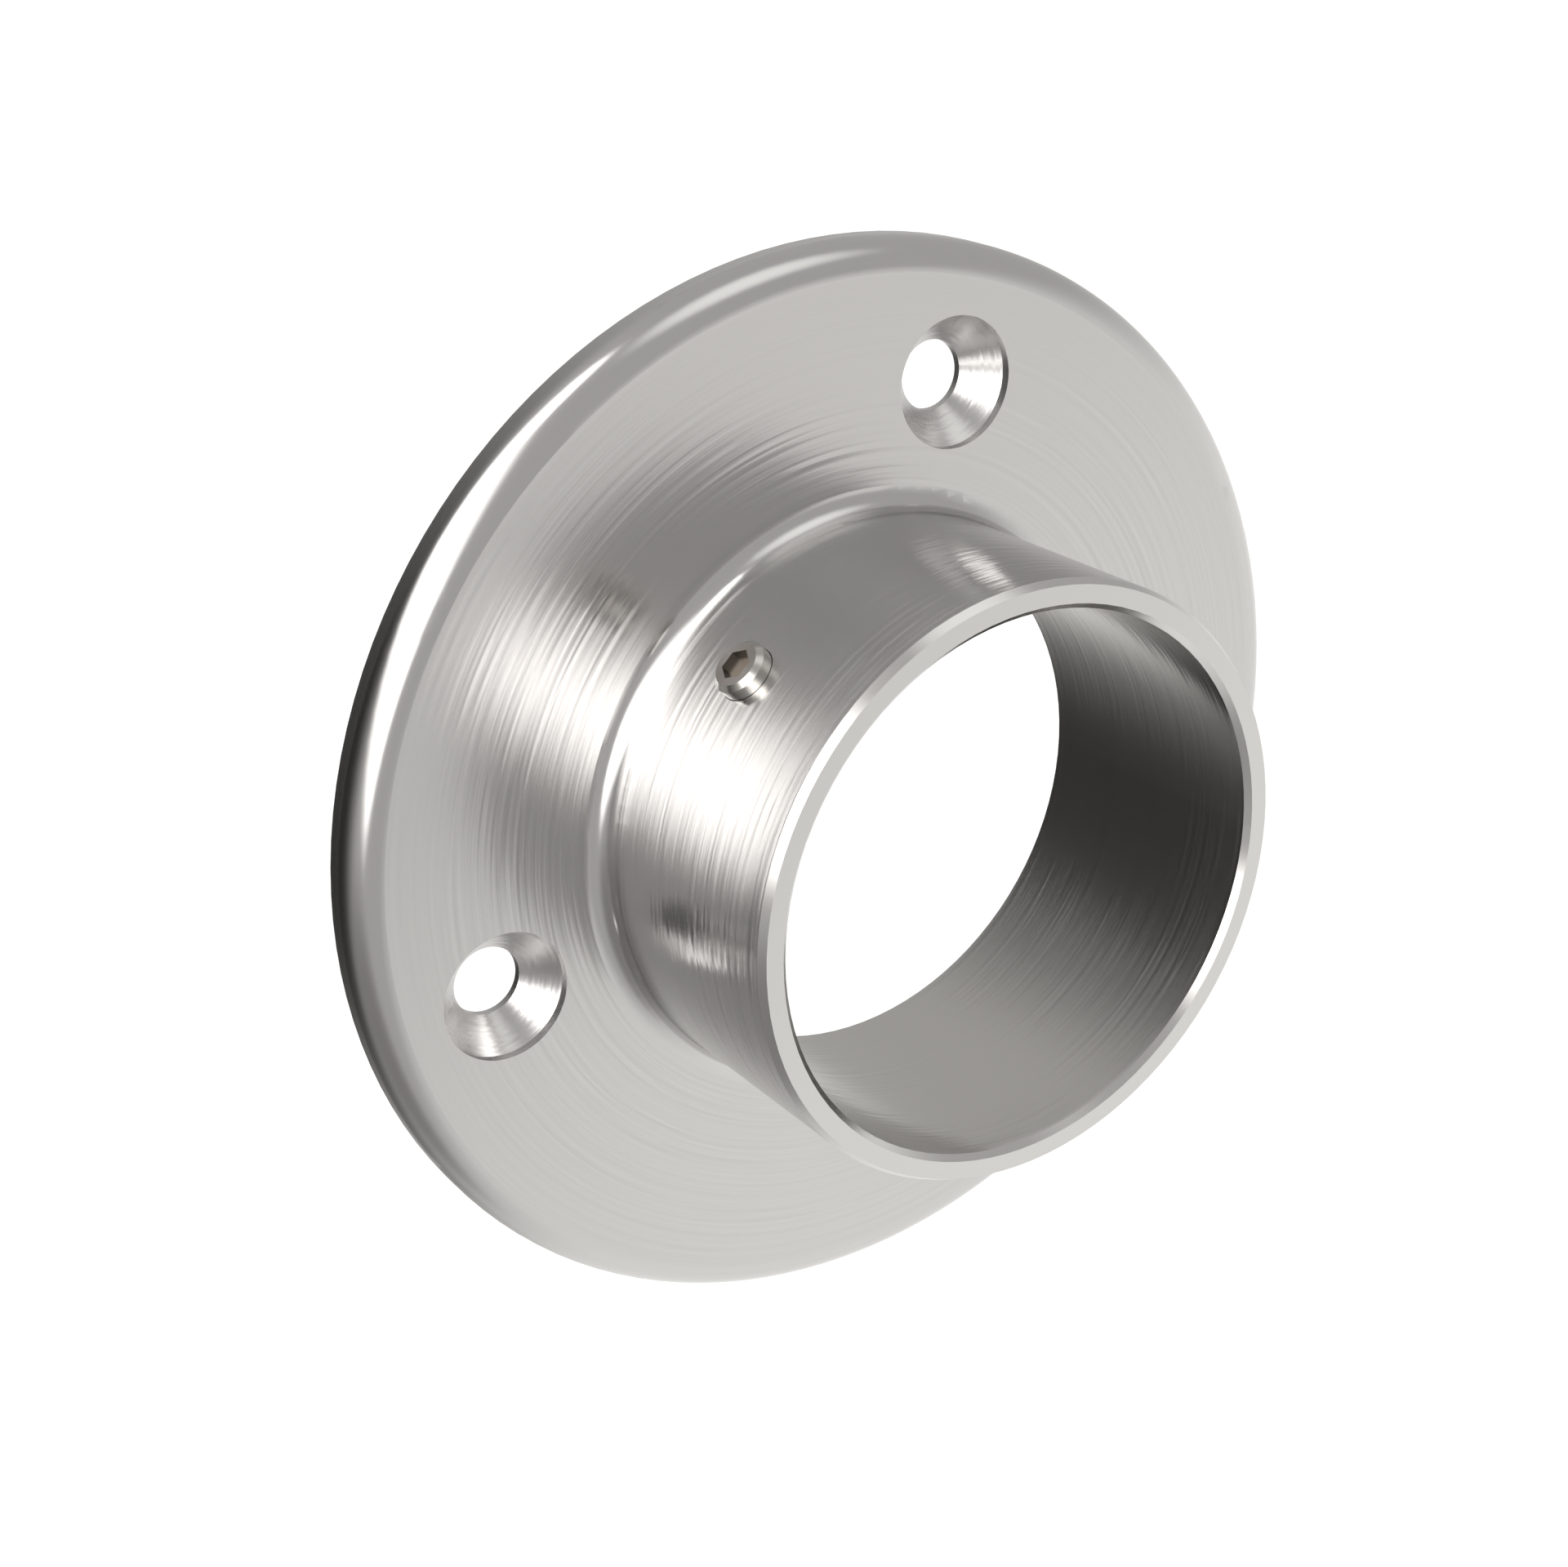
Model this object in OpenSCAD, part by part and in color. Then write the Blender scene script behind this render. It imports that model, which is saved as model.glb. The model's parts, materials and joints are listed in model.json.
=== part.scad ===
// Wall flange with a socket for a round handrail, clamped by one set screw.
// The wall is behind the back face, which lies in the plane y = 0. The rail
// leaves the socket along -Y, +Z is up, and the origin is on the socket's axis.

/* [Handrail] */
// Outside diameter of the handrail tube
tube_d = 48.3; // [42.4:0.1:54]
// Clearance round the tube in the socket
tube_gap = 0.1; // [0.05:0.05:0.5]

/* [Flange plate] */
// Diameter of the plate
plate_d = 100; // [94:1:140]
// Thickness of the plate
plate_t = 4.3; // [4:0.1:8]
// Radius that rounds the plate's front edge
rim_r = 2.8; // [0.5:0.1:4]

/* [Collar] */
// Distance from the wall to the collar's mouth
reach = 29; // [24:0.5:80]
// Wall thickness of the collar
collar_wall = 2.5; // [2:0.1:3.4]
// Radius of the fillet between the collar and the plate
fillet_r = 2; // [0.5:0.1:3.5]
// Chamfer inside the mouth, where the tube goes in
mouth_chamfer = 0.5; // [0.2:0.05:1]
// Length of the chamfer round the outside of the mouth
edge_chamfer_l = 0.75; // [0.2:0.05:2]
// Angle of that chamfer to the collar's axis
edge_chamfer_angle = 28; // [15:1:40]

/* [Back of the socket] */
// Depth of the relief round the bore in the back face
relief_t = 2.9; // [0.5:0.1:3.3]
// Width of the relief beyond the bore
relief_w = 3; // [1:0.1:5]

/* [Wall screws] */
// Number of holes for the wall screws
hole_count = 3; // [3:1:6]
// Diameter of the circle through the holes' centres
hole_circle_d = 76; // [70:0.5:82]
// Angle of the first hole, from +X towards +Z
hole_turn = 75.4; // [0:0.1:359.9]
// Diameter of each hole
hole_d = 6.3; // [5:0.1:8]
// Diameter of the countersink
sink_d = 11.8; // [9:0.1:13]
// Depth of the straight step at the countersink's top
sink_step = 0.85; // [0.2:0.05:1.4]
// Full angle of the countersink's cone
sink_angle = 90; // [80:1:120]

/* [Set screw] */
// Diameter of the set screw
screw_d = 5; // [4:0.1:8]
// Length of the set screw
screw_l = 4; // [4:0.5:8]
// Distance from the collar's mouth to the set screw's axis
screw_inset = 14; // [6:0.5:19]
// Clearance round the set screw in its hole
screw_gap = 0.05; // [0.02:0.01:0.1]
// Chamfer at the set screw's outer end
head_chamfer = 0.45; // [0.2:0.05:0.7]
// Hexagon socket, across its flats
hex_af = 2.5; // [1.5:0.1:2.8]
// Depth of the hexagon socket
hex_t = 2; // [1:0.1:2.4]
// Diameter of the cup's rim at the set screw's tip
cup_d = 2.5; // [1.5:0.1:3]
// Depth of the cup
cup_t = 0.6; // [0.2:0.1:1]

/* [Hidden] */
bore_r = tube_d / 2 + tube_gap;
collar_r = bore_r + collar_wall;
plate_r = plate_d / 2;
edge_chamfer_w = edge_chamfer_l * tan(edge_chamfer_angle);
sink_t = (sink_d - hole_d) / 2 / tan(sink_angle / 2);
// The set screw is midway between two holes, and its tip is level with the bore
screw_turn = hole_turn + 180 / hole_count;
screw_tip_r = bore_r;
// Cutting tools run this far past the faces that they cut
past = 1;
$fn = 128;

// Half section of the flange: x is the radius, y the distance from the wall
module flange_section() {
    difference() {
        union() {
            plate_section();
            collar_section();
            fillet_section();
        }
        translate([0, -past]) square([bore_r + relief_w, relief_t + past]);
    }
}

module plate_section() {
    flat_w = plate_r - rim_r - bore_r;
    translate([bore_r, 0]) square([flat_w, plate_t]);
    translate([bore_r, 0]) square([plate_r - bore_r, plate_t - rim_r]);
    intersection() {
        translate([plate_r - rim_r, plate_t - rim_r]) circle(rim_r);
        translate([bore_r, 0]) square([plate_r, plate_t]);
    }
}

module collar_section() {
    polygon([
        [bore_r, 0],
        [collar_r, 0],
        [collar_r, reach - edge_chamfer_l],
        [collar_r - edge_chamfer_w, reach],
        [bore_r + mouth_chamfer, reach],
        [bore_r, reach - mouth_chamfer]
    ]);
}

module fillet_section() {
    root = plate_t / 2;
    difference() {
        translate([bore_r, root]) square([collar_wall + fillet_r, plate_t + fillet_r - root]);
        translate([collar_r + fillet_r, plate_t + fillet_r]) circle(fillet_r);
    }
}

// A hole with its countersink, along +Z, with the plate's back at z = 0
module wall_screw_hole() {
    sink_top = plate_t - sink_step;
    translate([0, 0, -past]) cylinder(h = plate_t + 2 * past, d = hole_d);
    translate([0, 0, sink_top - sink_t]) cylinder(h = sink_t, d1 = hole_d, d2 = sink_d);
    translate([0, 0, sink_top]) cylinder(h = sink_step + past, d = sink_d);
}

// Turns +Z to the axis of the socket, which leaves the wall along -Y
module along_socket() {
    rotate([90, 0, 0]) children();
}

// Puts z = 0 on the socket's axis and turns +Z out along the set screw's axis
module along_set_screw() {
    translate([0, screw_inset - reach, 0]) rotate([0, 90 - screw_turn, 0]) children();
}

module wall_flange() {
    color("#c4c3c0")
    difference() {
        along_socket() difference() {
            rotate_extrude() flange_section();
            for (i = [0 : hole_count - 1])
                rotate([0, 0, hole_turn + i * 360 / hole_count])
                    translate([hole_circle_d / 2, 0, 0]) wall_screw_hole();
        }
        along_set_screw()
            translate([0, 0, bore_r / 2])
                cylinder(h = collar_r + past - bore_r / 2, r = screw_d / 2 + screw_gap);
    }
}

// Half section of the set screw, with its tip at y = 0
module screw_section() {
    screw_r = screw_d / 2;
    tip_chamfer = (screw_d - cup_d) / 4;
    polygon([
        [0, cup_t],
        [cup_d / 2, 0],
        [screw_r - tip_chamfer, 0],
        [screw_r, tip_chamfer],
        [screw_r, screw_l - head_chamfer],
        [screw_r - head_chamfer, screw_l],
        [0, screw_l]
    ]);
}

module set_screw() {
    color("#a3a09d")
    along_set_screw() translate([0, 0, screw_tip_r])
        difference() {
            rotate_extrude() screw_section();
            translate([0, 0, screw_l - hex_t])
                cylinder(h = hex_t + past, d = hex_af / cos(30), $fn = 6);
        }
}

wall_flange();
set_screw();
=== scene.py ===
import json
import math

import bmesh
import bpy
from bpy.props import (
    BoolProperty,
    FloatProperty,
    FloatVectorProperty,
    IntProperty,
    PointerProperty,
)
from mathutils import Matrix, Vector

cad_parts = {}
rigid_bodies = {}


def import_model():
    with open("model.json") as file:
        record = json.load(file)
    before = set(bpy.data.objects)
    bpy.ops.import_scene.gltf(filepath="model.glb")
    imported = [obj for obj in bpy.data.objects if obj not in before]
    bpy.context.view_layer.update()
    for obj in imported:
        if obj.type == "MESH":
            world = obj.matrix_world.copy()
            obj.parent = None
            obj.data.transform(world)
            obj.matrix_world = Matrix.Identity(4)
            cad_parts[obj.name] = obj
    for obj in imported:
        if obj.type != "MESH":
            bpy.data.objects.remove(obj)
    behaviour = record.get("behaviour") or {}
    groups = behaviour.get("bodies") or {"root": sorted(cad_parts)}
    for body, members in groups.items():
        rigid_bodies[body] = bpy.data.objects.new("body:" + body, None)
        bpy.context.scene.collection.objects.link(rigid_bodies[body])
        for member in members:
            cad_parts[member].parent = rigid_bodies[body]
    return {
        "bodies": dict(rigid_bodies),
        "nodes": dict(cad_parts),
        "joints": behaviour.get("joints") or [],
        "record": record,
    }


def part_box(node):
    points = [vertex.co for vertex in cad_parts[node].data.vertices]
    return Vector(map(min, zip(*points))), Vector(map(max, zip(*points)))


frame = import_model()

bl_info = {
    "name": "Handrail wall flange",
    "version": (1, 0, 0),
    "blender": (4, 5, 0),
    "location": "3D View > Sidebar > Flange",
    "description": "Gives the handrail wall flange its finishes and its studio",
    "category": "Object",
}

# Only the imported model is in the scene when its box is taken
KEPT = set(frame["nodes"].values()) | set(frame["bodies"].values())
for thing in [o for o in bpy.data.objects if o not in KEPT]:
    bpy.data.objects.remove(thing)
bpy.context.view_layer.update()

MM = 0.001
FLANGE, SCREW = "wall_flange", "set_screw"
Y_AXIS, ACROSS_Y = Vector((0, 1, 0)), Vector((1, 0, 1))
# The settings of a map range node that goes softly from 0 to 1 between its two limits
SOFT = {"interpolation_type": "SMOOTHSTEP"}

# Where one finish of the flange fades into the next, by radius from the socket's axis
OUT_OF_BORE = (25.5 * MM, 26 * MM)
ONTO_COLLAR = (28.5 * MM, 27.5 * MM)
INTO_FILLET = (29.6 * MM, 28.9 * MM)
TOWARDS_EDGE = (36 * MM, 47 * MM)
ONTO_RIM = (46.6 * MM, 47.6 * MM)
# The same, by reach from the wall
OFF_COLLAR = (6.8 * MM, 6 * MM)
ONTO_MOUTH = (28.1 * MM, 28.3 * MM)
# A countersink's finish lies below the plate's face and goes a little past the edge of its cut
PLATE_FACE = 4.29 * MM
SINK_MARGIN = 0.03 * MM
# The chamfer outside the mouth is found by how far its normal points along Y, with a margin
CHAMFER_FACING, CHAMFER_MARGIN = -0.47, 0.1

# How dark the darkest streaks are, as a share of the steel's colour
STREAK_TONE = 0.93
# One set of rings gives way to another in patches this many streaks wide
PATCH_WIDTH = 2.5
# The share of the streaks' tilt that is left where the steel is smooth
SMOOTH_TILT = 0.08
# How far the brushed roughness varies from streak to streak
BRUSHED_VARIES = 0.01

# The set screw's turned rings: their spacing, darkest tone, tilts and change of roughness
RING_SPACING, RING_TONE = 0.1 * MM, 0.94
RING_TILT_ALONG, RING_TILT_ACROSS = 0.01, 0.02
RINGS_VARY = 0.03
# Depths below the screw's cut end: of the end itself, the socket's upper edge and its foot
CUT_END, SOCKET_EDGE, SOCKET_FOOT = 0.01 * MM, 0.02 * MM, (0.8 * MM, 1.3 * MM)
# The socket is above this share of the screw's length, and within this share of the hexagon's
# size from the axis
SOCKET_ABOVE, SOCKET_WITHIN = 0.3, 0.6
# How much rougher the cut end is than the turned faces, and how rough broaching is
END_ROUGHER, SOCKET_ROUGHNESS = 0.12, 0.4
# How metallic the socket's foot looks: it is coloured pale and made less metallic so that the lamp
# lights it, painted light at the socket's foot
FOOT_METAL = 0.3

# The round boards that the steel mirrors, each painted over the ones before it: azimuth and
# elevation of its middle, inner and outer edge of its soft border from there, all in degrees,
# and brightness
BOARDS = (
    (85, -44, 37, 72, (1.057, 1.047, 1.023)),      # white, low on the right
    (-141, -7, 6, 72, (0.036, 0.035, 0.034)),      # black, behind on the left
    (-73, -44, 0, 34, (0.296, 0.287, 0.282)),      # dark grey, low on the left
    (32, 65, 3, 24, (1.23, 1.22, 1.195)),          # white, high on the right
    (33, -8, 0, 16, (0.93, 0.915, 0.895)),         # pale, in front on the right
    (180, 0, 10, 34, (0.66, 0.65, 0.64)),          # light grey, behind
)
GREY_ROOM = (0.548, 0.538, 0.53, 1)
# The key panel, the large one on the left: azimuth, elevation and tilt in degrees, then half
# width, half height and soft border as tangents
KEY_PANEL = (-67.4, 29.0, -41.0, 0.96, 0.33, 0.27)
# Its upper corner is rounded out by a round board
KEY_CORNER = (-84, 64, 4, 16)
KEY_COLOUR = (1.0, 0.98, 0.965)
# The panel fades in between these cosines from its middle, so that it isn't seen opposite too
IN_FRONT = (0.02, 0.05)

# The lamp that lights the floor: azimuth and elevation in degrees, distance in metres
LAMP_TOWARDS, LAMP_DISTANCE = (-69, 50), 1.2
# How far the floor goes, how much it glows where it is seen, and its grain
FLOOR_REACH, FLOOR_GLOW, FLOOR_GRAIN = 12, 0.25, 400
# The world's brightness as the object's light; where it is seen itself it is 1
WORLD_LIGHT = 0.9


def linear(hex_colour):
    """A hex colour in sRGB as the linear red, green, blue and alpha that sockets take."""
    parts = [int(hex_colour[i:i + 2], 16) / 255 for i in (1, 3, 5)]
    return [c / 12.92 if c <= 0.04045 else ((c + 0.055) / 1.055) ** 2.4 for c in parts] + [1.0]


def dimmed(colour, share):
    """A linear colour at that share of its brightness."""
    return [c * share for c in colour[:3]] + [1]


def mount(name):
    """The dims of one of the record's mounts."""
    return next(m["dims"] for m in frame["record"]["mounts"] if m["name"] == name)


def add(tree, kind, inputs=(), out=0, **settings):
    """Adds a shader node and gives its output out.

    settings are the node's properties. inputs gives its sockets, in order or by name or number,
    a value or the output of another node. A mix node's two inputs are numbers 2 and 3 for
    values, 4 and 5 for vectors, and 6 and 7 for colours.
    """
    node = tree.nodes.new("ShaderNode" + kind)
    for name, value in settings.items():
        setattr(node, name, value)
    for socket, value in inputs.items() if isinstance(inputs, dict) else enumerate(inputs):
        if isinstance(value, bpy.types.NodeSocket):
            tree.links.new(value, node.inputs[socket])
        else:
            node.inputs[socket].default_value = value
    return node.outputs[out]


def new_material(name):
    """An empty node material, its tree and the socket that takes its shader."""
    made = bpy.data.materials.new(name)
    made.use_nodes = True
    tree = made.node_tree
    tree.nodes.clear()
    return made, tree, tree.nodes.new("ShaderNodeOutputMaterial").inputs["Surface"]


def towards(azimuth, elevation):
    """A direction. Azimuth 0 is out of the wall along -Y and 90 is +X, in degrees."""
    a, e = math.radians(azimuth), math.radians(elevation)
    return Vector((math.sin(a) * math.cos(e), -math.cos(a) * math.cos(e), math.sin(e)))


class SteelFinish(bpy.types.PropertyGroup):
    """How the flange's steel is brushed."""

    colour: FloatVectorProperty(
        name="Steel", description="Colour of the brushed stainless steel",
        default=linear("#cecdcc"), size=4, subtype="COLOR", min=0, max=1)
    # The bore's colour is darker than the plate's: painted shade inside the bore
    bore: FloatVectorProperty(
        name="Bore", description="Colour of the steel in the bore, which is duller",
        default=linear("#c8c7c4"), size=4, subtype="COLOR", min=0, max=1)
    mouth: FloatVectorProperty(
        name="Mouth", description="Colour of the turned ring at the mouth, which is brighter",
        default=linear("#cfcecc"), size=4, subtype="COLOR", min=0, max=1)
    streak_width: FloatProperty(
        name="Streak width", description="Width of the widest brush streaks",
        default=0.5 * MM, unit="LENGTH", precision=5)
    streak_length: FloatProperty(
        name="Streak length", description="Length of the brush streaks on the plate",
        default=11 * MM, unit="LENGTH", precision=4)
    tilt_across: FloatProperty(
        name="Tilt across",
        description="How far a streak may tilt across the brushing, as a tangent",
        default=0.14, min=0, precision=3)
    tilt_along: FloatProperty(
        name="Tilt along",
        description="How far a streak may tilt along the brushing, as a tangent",
        default=0.09, min=0, precision=3)
    collar: FloatProperty(
        name="Collar", description="How much more the streaks tilt round the collar",
        default=1.3, min=0, precision=2)
    edge: FloatProperty(
        name="Edge", description="How much of the tilt is left at the plate's edge",
        default=0.45, min=0, precision=2)
    crown: FloatProperty(
        name="Crown", description="How far the chamfer round the mouth leans out, as a tangent",
        default=0.15, precision=3)
    brushed: FloatProperty(
        name="Brushed roughness", description="Roughness of the brushed faces",
        default=0.21, subtype="FACTOR", min=0, max=1)
    smooth: FloatProperty(
        name="Smooth roughness", description="Roughness of the rim, the fillet and the mouth",
        default=0.16, subtype="FACTOR", min=0, max=1)
    sunk: FloatProperty(
        name="Countersink roughness",
        description="Roughness that the cutter leaves in a countersink",
        default=0.27, subtype="FACTOR", min=0, max=1)
    directed: FloatProperty(
        name="Stretch", description="How far the brushing stretches reflections across itself",
        default=0.5, subtype="FACTOR", min=0, max=1)


class WallHoles(bpy.types.PropertyGroup):
    """Where the countersunk holes are, so that their turned finish is centred on them."""

    count: IntProperty(
        name="Holes", description="Number of holes",
        default=mount("wall_holes")["count"], min=1)
    circle: FloatProperty(
        name="Circle", description="Diameter of the circle through the holes' centres",
        default=mount("wall_holes")["pcd_mm"] * MM, unit="LENGTH", precision=4)
    turn: FloatProperty(
        name="First hole", description="Angle of the first hole, from +X towards +Z",
        default=math.radians(75.4), subtype="ANGLE")
    sink: FloatProperty(
        name="Countersink", description="Diameter of the countersinks",
        default=11.8 * MM, unit="LENGTH", precision=4)


class ScrewFinish(bpy.types.PropertyGroup):
    """The set screw's finish."""

    colour: FloatVectorProperty(
        name="Screw", description="Colour of the turned stainless steel",
        default=linear("#c6c3bf"), size=4, subtype="COLOR", min=0, max=1)
    # The cut end's darker colour is painted shade, for the dark surroundings that the end reflects
    end: FloatVectorProperty(
        name="End", description="Colour of the screw's cut end",
        default=linear("#a09c98"), size=4, subtype="COLOR", min=0, max=1)
    # The socket walls' dark colour is painted shade inside the hexagon socket
    inside: FloatVectorProperty(
        name="Socket", description="Colour of the hexagon socket's broached walls",
        default=linear("#7a7672"), size=4, subtype="COLOR", min=0, max=1)
    # The foot's pale colour is painted light at the bottom of the socket
    foot: FloatVectorProperty(
        name="Foot", description="Colour of the drilled foot of the hexagon socket",
        default=linear("#c3bab0"), size=4, subtype="COLOR", min=0, max=1)
    roughness: FloatProperty(
        name="Roughness", description="Roughness of the turned faces",
        default=0.2, subtype="FACTOR", min=0, max=1)
    socket: FloatProperty(
        name="Hexagon", description="Size of the hexagon socket, across its flats",
        default=2.5 * MM, unit="LENGTH", precision=4)


class Studio(bpy.types.PropertyGroup):
    """The floor, the light and the camera."""

    show_floor: BoolProperty(
        name="Floor", description="Whether the floor is built", default=True)
    floor_colour: FloatVectorProperty(
        name="Floor colour", description="Colour of the pale floor",
        default=linear("#f2f2f0"), size=4, subtype="COLOR", min=0, max=1)
    floor_drop: FloatProperty(
        name="Floor below", description="How far the floor is below the socket's axis",
        default=0.75, unit="LENGTH")
    surround: FloatProperty(
        name="Surround", description="Radius of the boards and panels round the flange",
        default=0.7, unit="LENGTH")
    key_level: FloatProperty(
        name="Key panel", description="Brightness of the large panel on the left; 1 is white",
        default=4.5, min=0)
    lamp_size: FloatProperty(
        name="Lamp size", description="Diameter of the round lamp that lights the floor",
        default=0.7, unit="LENGTH")
    lamp_power: FloatProperty(
        name="Lamp power", description="Power of the lamp that lights the floor",
        default=6, min=0, unit="POWER")
    lens: FloatProperty(
        name="Lens", description="Focal length of the camera",
        default=58.79, unit="CAMERA")
    azimuth: FloatProperty(
        name="Azimuth", description="Where the camera stands, from straight in front towards +X",
        default=math.radians(-33.542), subtype="ANGLE")
    elevation: FloatProperty(
        name="Elevation", description="How high the camera stands above the socket's axis",
        default=math.radians(22.412), subtype="ANGLE")
    distance: FloatProperty(
        name="Distance", description="From the camera to the socket's axis at the wall",
        default=235.63 * MM, unit="LENGTH")
    aside: FloatVectorProperty(
        name="Aside", description="How far the camera is moved to its right and up",
        default=(-4.574 * MM, -0.295 * MM), size=2, subtype="TRANSLATION", unit="LENGTH")


def round_about(tree, position, centre, axis):
    """The direction of a tool mark that runs round an axis through centre, as a unit vector."""
    arm = add(tree, "VectorMath", (position, centre), operation="SUBTRACT")
    cross = add(tree, "VectorMath", (arm, axis), operation="CROSS_PRODUCT")
    return add(tree, "VectorMath", (cross,), operation="NORMALIZE")


def radius_about(tree, position, centre):
    """Distance of position from the line through centre that runs along Y."""
    arm = add(tree, "VectorMath", (position, centre), operation="SUBTRACT")
    flat = add(tree, "VectorMath", (arm, ACROSS_Y), operation="MULTIPLY")
    return add(tree, "VectorMath", (flat,), "Value", operation="LENGTH")


def tilted(tree, marks, along, across):
    """The surface's normal, tilted along and across the tool marks by those tangents."""
    normal = add(tree, "NewGeometry", out="Normal")
    beside = add(tree, "VectorMath", (normal, marks), operation="CROSS_PRODUCT")
    for way, amount in ((marks, along), (beside, across)):
        spread = add(tree, "CombineXYZ", (amount, amount, amount))
        normal = add(tree, "VectorMath", (way, spread, normal), operation="MULTIPLY_ADD")
    return add(tree, "VectorMath", (normal,), operation="NORMALIZE")


def swing(tree, noise, reach):
    """A tilt that follows noise to both sides of 0, over that reach from one side to the other."""
    centred = add(tree, "Math", (noise, 0.5), operation="SUBTRACT")
    return add(tree, "Math", (centred, reach), operation="MULTIPLY")


def hole_centres(holes):
    """The wall holes' centres in the plane of the wall."""
    for i in range(holes.count):
        turn = holes.turn + i * math.tau / holes.count
        yield Vector((math.cos(turn), 0, math.sin(turn))) * holes.circle / 2


def brushed_stainless(finish, holes):
    """Stainless steel 1.4301, turned and then brushed with grit 240 in circles round the socket.

    The brushing leaves fine arcs on the plate and rings round the collar and in the bore. They
    stretch each reflection across themselves and break its edges into streaks. The rounded rim,
    the fillet and the mouth are smoother, and show their reflections sharper. A streak is drawn
    wider than the grit's own marks, as a bundle of them, because those are too fine to show.
    """
    steel, tree, surface = new_material("Brushed_stainless_steel")
    position = add(tree, "TexCoord", out="Object")
    radius = radius_about(tree, position, (0, 0, 0))
    y = add(tree, "SeparateXYZ", (position,), "Y")
    out = add(tree, "Math", (y, -1), operation="MULTIPLY")

    # The marks run round the socket, and in each countersink round its hole
    centre, sinks = (0, 0, 0), 0
    below = add(tree, "Math", (out, PLATE_FACE), operation="LESS_THAN")
    for spot in hole_centres(holes):
        from_hole = radius_about(tree, position, spot)
        near = add(tree, "Math", (from_hole, holes.sink / 2 + SINK_MARGIN), operation="LESS_THAN")
        inside = add(tree, "Math", (near, below), operation="MULTIPLY")
        centre = add(tree, "Mix", {"Factor": inside, 4: centre, 5: spot}, 1, data_type="VECTOR")
        sinks = add(tree, "Math", (sinks, inside), operation="MAXIMUM")
    marks = round_about(tree, position, centre, Y_AXIS)
    arm = add(tree, "VectorMath", (position, centre), operation="SUBTRACT")
    level = add(tree, "VectorMath", (arm, ACROSS_Y), operation="MULTIPLY")
    ray = add(tree, "VectorMath", (level,), operation="NORMALIZE")
    # Distance across the marks, over the plate and then along the collar
    across = add(tree, "Math", (radius_about(tree, position, centre), y), operation="SUBTRACT")

    def rings(shift):
        """Rings of many widths round the socket, up to the widest streak's."""
        row = add(tree, "Math", (across, 1 / finish.streak_width, shift), operation="MULTIPLY_ADD")
        look = {"W": row, "Scale": 1, "Detail": 4, "Roughness": 0.65}
        return add(tree, "TexNoise", look, noise_dimensions="1D")

    def strokes(shift):
        """Streaks of the finish's length: along each ring, two sets of rings give way in turn."""
        lengths = holes.circle / 2 / finish.streak_length
        turn = add(tree, "VectorMath", {0: ray, "Scale": lengths}, operation="SCALE")
        widths = 1 / PATCH_WIDTH / finish.streak_width
        row = add(tree, "Math", (across, widths), operation="MULTIPLY")
        step = add(tree, "CombineXYZ", (shift, row))
        place = add(tree, "VectorMath", (turn, step), operation="ADD")
        patch = add(tree, "TexNoise", {"Vector": place, "Scale": 1, "Detail": 1})
        fade = add(tree, "MapRange", (patch, 0.35, 0.65), **SOFT)
        return add(tree, "Mix", {"Factor": fade, 2: rings(shift), 3: rings(shift + 50)})

    # Two patterns that have nothing in common, from two places of the same noise
    one, other = strokes(0), strokes(17)

    # Where the surface is smooth: the rounded rim, the fillet and the mouth
    rim = add(tree, "MapRange", (radius, *ONTO_RIM), **SOFT)
    mouth = add(tree, "MapRange", (out, *ONTO_MOUTH), **SOFT)
    by_plate = add(tree, "MapRange", (out, *OFF_COLLAR), **SOFT)
    by_collar = add(tree, "MapRange", (radius, *INTO_FILLET), **SOFT)
    outside = add(tree, "MapRange", (radius, *OUT_OF_BORE), **SOFT)
    corner = add(tree, "Math", (by_plate, by_collar), operation="MULTIPLY")
    fillet = add(tree, "Math", (corner, outside), operation="MULTIPLY")
    smooth = add(tree, "Math", (rim, mouth), operation="MAXIMUM")
    smooth = add(tree, "Math", (smooth, fillet), operation="MAXIMUM")
    unsunk = add(tree, "Math", (1, sinks), operation="SUBTRACT")
    smooth = add(tree, "Math", (smooth, unsunk), operation="MULTIPLY")

    finer, coarser = finish.brushed - BRUSHED_VARIES, finish.brushed + BRUSHED_VARIES
    uneven = add(tree, "MapRange", (one, 0.3, 0.7, finer, coarser))
    roughness = add(tree, "Mix", {"Factor": smooth, 2: uneven, 3: finish.smooth})
    roughness = add(tree, "Mix", {"Factor": sinks, 2: roughness, 3: finish.sunk})

    # The collar was brushed harder than the plate, its edge less and the smooth parts hardly
    near_collar = add(tree, "MapRange", (radius, *ONTO_COLLAR), **SOFT)
    collar = add(tree, "Math", (near_collar, outside), operation="MULTIPLY")
    plate = add(tree, "MapRange", (radius, *TOWARDS_EDGE, 1, finish.edge), **SOFT)
    coarse = add(tree, "Mix", {"Factor": collar, 2: plate, 3: finish.collar})
    worn = add(tree, "MapRange", (smooth, 0, 1, coarse, SMOOTH_TILT))

    def lean(noise, tilt):
        """A tilt that follows noise, up to tilt to each side, as far as the steel is brushed."""
        reach = add(tree, "Math", (worn, tilt * 2), operation="MULTIPLY")
        return swing(tree, noise, reach)

    # The chamfer round the mouth is rounded off a little, so it leans out as well
    facing = add(tree, "SeparateXYZ", (add(tree, "NewGeometry", out="Normal"),), "Y")
    chamfer = add(tree, "Math", (facing, CHAMFER_FACING, CHAMFER_MARGIN), operation="COMPARE")
    chamfer = add(tree, "Math", (chamfer, mouth), operation="MULTIPLY")
    aside = lean(other, finish.tilt_across)
    aside = add(tree, "Math", (chamfer, finish.crown, aside), operation="MULTIPLY_ADD")
    normal = tilted(tree, marks, lean(one, finish.tilt_along), aside)

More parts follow.
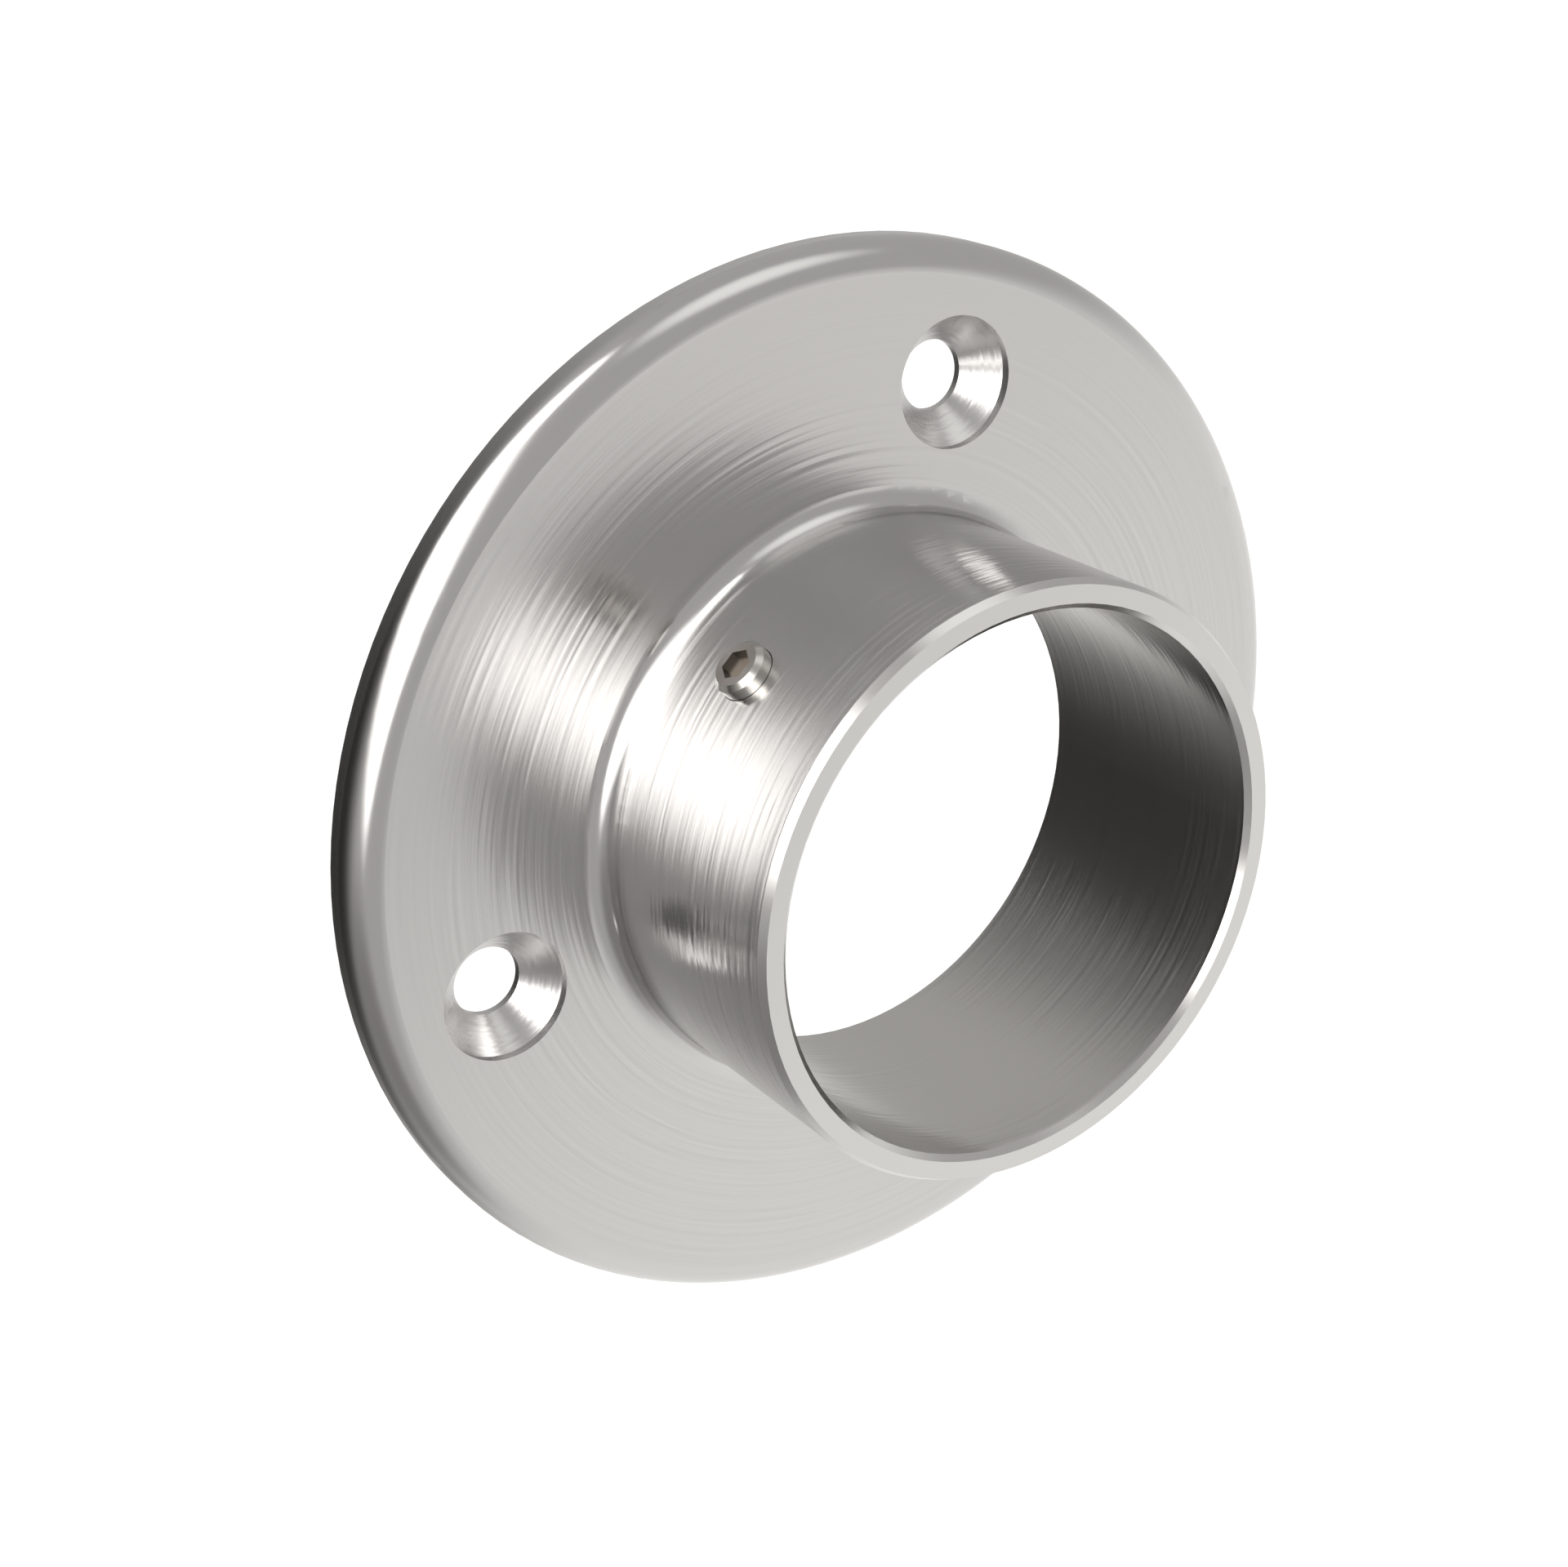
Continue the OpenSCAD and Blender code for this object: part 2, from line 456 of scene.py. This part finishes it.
    darker = dimmed(finish.colour, STREAK_TONE)
    colour = add(tree, "Mix", {"Factor": other, 6: finish.colour, 7: darker}, 2, data_type="RGBA")
    # Inside the bore the steel takes the darker bore colour, painted shade
    colour = add(tree, "Mix", {"Factor": outside, 6: finish.bore, 7: colour}, 2, data_type="RGBA")
    colour = add(tree, "Mix", {"Factor": mouth, 6: colour, 7: finish.mouth}, 2, data_type="RGBA")
    # A quarter turn lays the stretch across the marks
    shader = add(tree, "BsdfPrincipled", {
        "Base Color": colour, "Metallic": 1, "Roughness": roughness, "Normal": normal,
        "Anisotropic": finish.directed, "Anisotropic Rotation": 0.25, "Tangent": marks})
    tree.links.new(shader, surface)
    return steel


def turned_stainless(finish, foot, axis, length):
    """Stainless steel A2, turned on an automatic lathe, cut off and broached for the hexagon key.

    Turning leaves fine rings round the screw's axis and a bright satin gloss. The cut end is
    rougher and coloured darker, painted shade on the end. The broached walls of the socket are
    rough and coloured dark, painted shade in the socket, and its drilled foot is coloured pale and
    made less metallic, painted light at the socket's foot.
    """
    steel, tree, surface = new_material("Turned_stainless_steel")
    position = add(tree, "TexCoord", out="Object")
    arm = add(tree, "VectorMath", (position, foot), operation="SUBTRACT")
    along = add(tree, "VectorMath", (arm, axis), "Value", operation="DOT_PRODUCT")
    on_axis = add(tree, "VectorMath", {0: axis, "Scale": along}, operation="SCALE")
    off = add(tree, "VectorMath", (arm, on_axis), operation="SUBTRACT")
    radius = add(tree, "VectorMath", (off,), "Value", operation="LENGTH")
    # The tool's rings are spaced as fine as they can be and still show
    row = add(tree, "Math", (along, radius), operation="ADD")
    row = add(tree, "Math", (row, RING_SPACING), operation="DIVIDE")
    rings = add(tree, "TexNoise", {"W": row, "Scale": 1, "Detail": 2}, noise_dimensions="1D")

    end = add(tree, "Math", (along, length - CUT_END), operation="GREATER_THAN")
    low = add(tree, "Math", (along, length - SOCKET_EDGE), operation="LESS_THAN")
    high = add(tree, "Math", (along, length * SOCKET_ABOVE), operation="GREATER_THAN")
    narrow = add(tree, "Math", (radius, finish.socket * SOCKET_WITHIN), operation="LESS_THAN")
    socket = add(tree, "Math", (low, high), operation="MULTIPLY")
    socket = add(tree, "Math", (socket, narrow), operation="MULTIPLY")
    # Painted light: the socket's foot is made pale and less metallic, so that it shows lit
    painted_lit_foot = add(tree, "MapRange", (along, *(length - depth for depth in SOCKET_FOOT)), **SOFT)
    painted_lit_foot = add(tree, "Math", (painted_lit_foot, socket), operation="MULTIPLY")

    marks = round_about(tree, position, foot, axis)
    by_rings = [swing(tree, rings, tilt) for tilt in (RING_TILT_ALONG, RING_TILT_ACROSS)]
    normal = tilted(tree, marks, *by_rings)
    finer, coarser = finish.roughness - RINGS_VARY, finish.roughness + RINGS_VARY
    roughness = add(tree, "MapRange", (rings, 0.3, 0.7, finer, coarser))
    sawn = finish.roughness + END_ROUGHER
    roughness = add(tree, "Mix", {"Factor": end, 2: roughness, 3: sawn})
    roughness = add(tree, "Mix", {"Factor": socket, 2: roughness, 3: SOCKET_ROUGHNESS})
    metallic = add(tree, "MapRange", (painted_lit_foot, 0, 1, 1, FOOT_METAL))
    darker = dimmed(finish.colour, RING_TONE)
    colour = add(tree, "Mix", {"Factor": rings, 6: finish.colour, 7: darker}, 2, data_type="RGBA")
    # Painted shade: the cut end is coloured darker
    colour = add(tree, "Mix", {"Factor": end, 6: colour, 7: finish.end}, 2, data_type="RGBA")
    # Painted shade: the socket's walls are coloured dark
    colour = add(tree, "Mix", {"Factor": socket, 6: colour, 7: finish.inside}, 2, data_type="RGBA")
    colour = add(tree, "Mix", {"Factor": painted_lit_foot, 6: colour, 7: finish.foot}, 2, data_type="RGBA")
    shader = add(tree, "BsdfPrincipled", {
        "Base Color": colour, "Metallic": metallic, "Roughness": roughness, "Normal": normal,
        "Anisotropic": 0.4, "Anisotropic Rotation": 0.25, "Tangent": marks})
    tree.links.new(shader, surface)
    return steel


def coat(node, material):
    """Gives a CAD node another material."""
    slots = frame["nodes"][node].material_slots
    if not slots:
        raise RuntimeError(f"{node} has no material slot")
    for slot in slots:
        slot.material = material


class HANDRAIL_OT_finish_flange(bpy.types.Operator):
    """Give the wall flange its brushed finish"""

    bl_idname = "handrail.finish_flange"
    bl_label = "Brush the flange"

    def execute(self, context):
        scene = context.scene
        coat(FLANGE, brushed_stainless(scene.flange_steel, scene.flange_holes))
        return {"FINISHED"}


class HANDRAIL_OT_finish_set_screw(bpy.types.Operator):
    """Give the set screw its turned finish"""

    bl_idname = "handrail.finish_set_screw"
    bl_label = "Finish the set screw"

    def execute(self, context):
        # The screw's axis runs out of the collar, against the way that the joint moves it
        axis = -Vector(frame["joints"][0]["axis"])
        screw = frame["nodes"][SCREW]
        reach = [axis.dot(screw.matrix_world @ vertex.co) for vertex in screw.data.vertices]
        low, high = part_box(SCREW)
        middle = (Vector(low) + Vector(high)) / 2
        foot = middle + axis * (min(reach) - axis.dot(middle))
        length = max(reach) - min(reach)
        coat(SCREW, turned_stainless(context.scene.flange_screw, foot, axis, length))
        return {"FINISHED"}


def stage_object(name, mesh_maker, material):
    """A mesh for the stage, made by mesh_maker in a new bmesh, with its material."""
    shape = bmesh.new()
    mesh_maker(shape)
    mesh = bpy.data.meshes.new(name)
    shape.to_mesh(mesh)
    shape.free()
    mesh.materials.append(material)
    made = bpy.data.objects.new(name, mesh)
    bpy.context.scene.collection.objects.link(made)
    return made


def seen_white(tree):
    """1 for the rays that see the background itself: from the camera, metal and glass."""
    seen = 0
    for ray in ("Is Camera Ray", "Is Glossy Ray", "Is Transmission Ray"):
        seen = add(tree, "Math", (add(tree, "LightPath", out=ray), seen), operation="MAXIMUM")
    return seen


def pale_floor(studio):
    """Matt white card, which keeps a soft shadow and reads as white to the camera and in metal."""
    card, tree, surface = new_material("White_card")
    position = add(tree, "TexCoord", out="Object")
    grain = add(tree, "TexNoise", {"Vector": position, "Scale": FLOOR_GRAIN})
    glow = add(tree, "Math", (seen_white(tree), FLOOR_GLOW), operation="MULTIPLY")
    shader = add(tree, "BsdfPrincipled", {
        "Base Color": studio.floor_colour,
        "Roughness": add(tree, "MapRange", (grain, 0, 1, 0.8, 0.9)),
        "Emission Color": (1, 1, 1, 1), "Emission Strength": glow})
    tree.links.new(shader, surface)
    return card


def key_panel(tree, along):
    """1 in the directions that see the key panel, and softly down to 0 over its border.

    along gives how far the ray goes in a direction, as a cosine.
    """
    azimuth, elevation, tilt, half_width, half_height, border = KEY_PANEL
    middle = towards(azimuth, elevation)
    level = Vector((math.cos(math.radians(azimuth)), math.sin(math.radians(azimuth)), 0))
    upright = middle.cross(level)
    upright = upright if upright.z > 0 else -upright
    turn = math.radians(tilt)
    side = math.cos(turn) * level + math.sin(turn) * upright
    up = math.cos(turn) * upright - math.sin(turn) * level
    ahead = add(tree, "Math", (along(middle), IN_FRONT[0]), operation="MAXIMUM")
    lit = add(tree, "MapRange", (along(middle), *IN_FRONT), **SOFT)
    for edge, half in ((side, half_width), (up, half_height)):
        slope = add(tree, "Math", (along(edge), ahead), operation="DIVIDE")
        offset = add(tree, "Math", (slope,), operation="ABSOLUTE")
        within = add(tree, "MapRange", (offset, half + border, half - border), **SOFT)
        lit = add(tree, "Math", (lit, within), operation="MULTIPLY")
    return lit


def studio_surround(studio):
    """A grey room with its boards and the bright key panel, as the steel mirrors it."""
    room, tree, surface = new_material("Studio_surround")
    ray = add(tree, "VectorMath", (add(tree, "TexCoord", out="Object"),), operation="NORMALIZE")

    def along(direction):
        """How far the ray goes in a direction, as a cosine."""
        return add(tree, "VectorMath", (ray, direction), "Value", operation="DOT_PRODUCT")

    light, key = GREY_ROOM, [studio.key_level * c for c in KEY_COLOUR]
    for azimuth, elevation, inner, outer, level in (*BOARDS, (*KEY_CORNER, key)):
        edges = [math.cos(math.radians(edge)) for edge in (outer, inner)]
        seen = add(tree, "MapRange", (along(towards(azimuth, elevation)), *edges), **SOFT)
        light = add(tree, "Mix", {"Factor": seen, 6: light, 7: (*level, 1)}, 2, data_type="RGBA")
    lit = key_panel(tree, along)
    light = add(tree, "Mix", {"Factor": lit, 6: light, 7: (*key, 1)}, 2, data_type="RGBA")
    tree.links.new(add(tree, "Emission", (light, 1)), surface)
    room.cycles.emission_sampling = "NONE"
    return room


class HANDRAIL_OT_build_stage(bpy.types.Operator):
    """Build the floor, the light, the surround and the camera"""

    bl_idname = "handrail.build_stage"
    bl_label = "Build the studio"

    def execute(self, context):
        scene = context.scene
        studio = scene.flange_studio
        scene.view_settings.view_transform = "Standard"

        def flat_floor(shape):
            bmesh.ops.create_grid(shape, x_segments=1, y_segments=1, size=FLOOR_REACH)
            bmesh.ops.translate(shape, verts=shape.verts, vec=(0, 0, -studio.floor_drop))

        def sphere(shape):
            bmesh.ops.create_uvsphere(shape, u_segments=64, v_segments=32, radius=studio.surround)
            bmesh.ops.reverse_faces(shape, faces=shape.faces)

        if studio.show_floor:
            stage_object("Stage_floor", flat_floor, pale_floor(studio))
        # Only the steel sees the surround
        around = stage_object("Stage_surround", sphere, studio_surround(studio))
        around.visible_camera = around.visible_diffuse = around.visible_shadow = False
        around.visible_transmission = False

        world = bpy.data.worlds.new("White_studio")
        world.use_nodes = True
        tree = world.node_tree
        tree.nodes.clear()
        strength = add(tree, "MapRange", (seen_white(tree), 0, 1, WORLD_LIGHT, 1))
        backdrop = add(tree, "Background", ((1, 1, 1, 1), strength))
        tree.links.new(backdrop, tree.nodes.new("ShaderNodeOutputWorld").inputs["Surface"])
        scene.world = world

        lamp = bpy.data.lights.new("Key_softbox", "AREA")
        lamp.shape, lamp.size, lamp.energy = "DISK", studio.lamp_size, studio.lamp_power
        softbox = bpy.data.objects.new("Key_softbox", lamp)
        softbox.location = towards(*LAMP_TOWARDS) * LAMP_DISTANCE
        softbox.rotation_mode = "QUATERNION"
        softbox.rotation_quaternion = softbox.location.to_track_quat("Z", "Y")
        softbox.visible_glossy = softbox.visible_camera = False
        scene.collection.objects.link(softbox)

        back = towards(math.degrees(studio.azimuth), math.degrees(studio.elevation))
        right = Vector((math.cos(studio.azimuth), math.sin(studio.azimuth), 0))
        up = back.cross(right)
        eye = bpy.data.objects.new("Camera", bpy.data.cameras.new("Camera"))
        eye.data.lens, eye.data.sensor_width = studio.lens, 36
        eye.data.clip_start = 10 * MM
        eye.location = back * studio.distance + right * studio.aside[0] + up * studio.aside[1]
        eye.rotation_mode = "QUATERNION"
        eye.rotation_quaternion = back.to_track_quat("Z", "Y")
        scene.collection.objects.link(eye)
        scene.camera = eye
        return {"FINISHED"}


class HANDRAIL_PT_flange(bpy.types.Panel):
    """Sizes, colours and steps of the handrail wall flange"""

    bl_label = "Handrail wall flange"
    bl_idname = "HANDRAIL_PT_flange"
    bl_space_type = "VIEW_3D"
    bl_region_type = "UI"
    bl_category = "Flange"

    def draw(self, context):
        for group, operator in STEPS:
            settings = getattr(context.scene, group)
            box = self.layout.box()
            for name in settings.bl_rna.properties.keys():
                if name not in {"rna_type", "name"}:
                    box.prop(settings, name)
            if operator:
                box.operator(operator)


GROUPS = {
    "flange_steel": SteelFinish,
    "flange_holes": WallHoles,
    "flange_screw": ScrewFinish,
    "flange_studio": Studio,
}
# The panel's boxes: a property group and the operator that uses it. The holes' box has none of
# its own, because the flange's finish uses both.
STEPS = (
    ("flange_holes", None),
    ("flange_steel", HANDRAIL_OT_finish_flange.bl_idname),
    ("flange_screw", HANDRAIL_OT_finish_set_screw.bl_idname),
    ("flange_studio", HANDRAIL_OT_build_stage.bl_idname),
)
CLASSES = (
    *GROUPS.values(),
    HANDRAIL_OT_finish_flange,
    HANDRAIL_OT_finish_set_screw,
    HANDRAIL_OT_build_stage,
    HANDRAIL_PT_flange,
)


def register():
    for cls in CLASSES:
        bpy.utils.register_class(cls)
    for name, cls in GROUPS.items():
        setattr(bpy.types.Scene, name, PointerProperty(type=cls))


def unregister():
    for name in GROUPS:
        delattr(bpy.types.Scene, name)
    for cls in reversed(CLASSES):
        bpy.utils.unregister_class(cls)


def main():
    register()
    bpy.ops.handrail.finish_flange()
    bpy.ops.handrail.finish_set_screw()
    bpy.ops.handrail.build_stage()


if __name__ == "__main__":
    main()
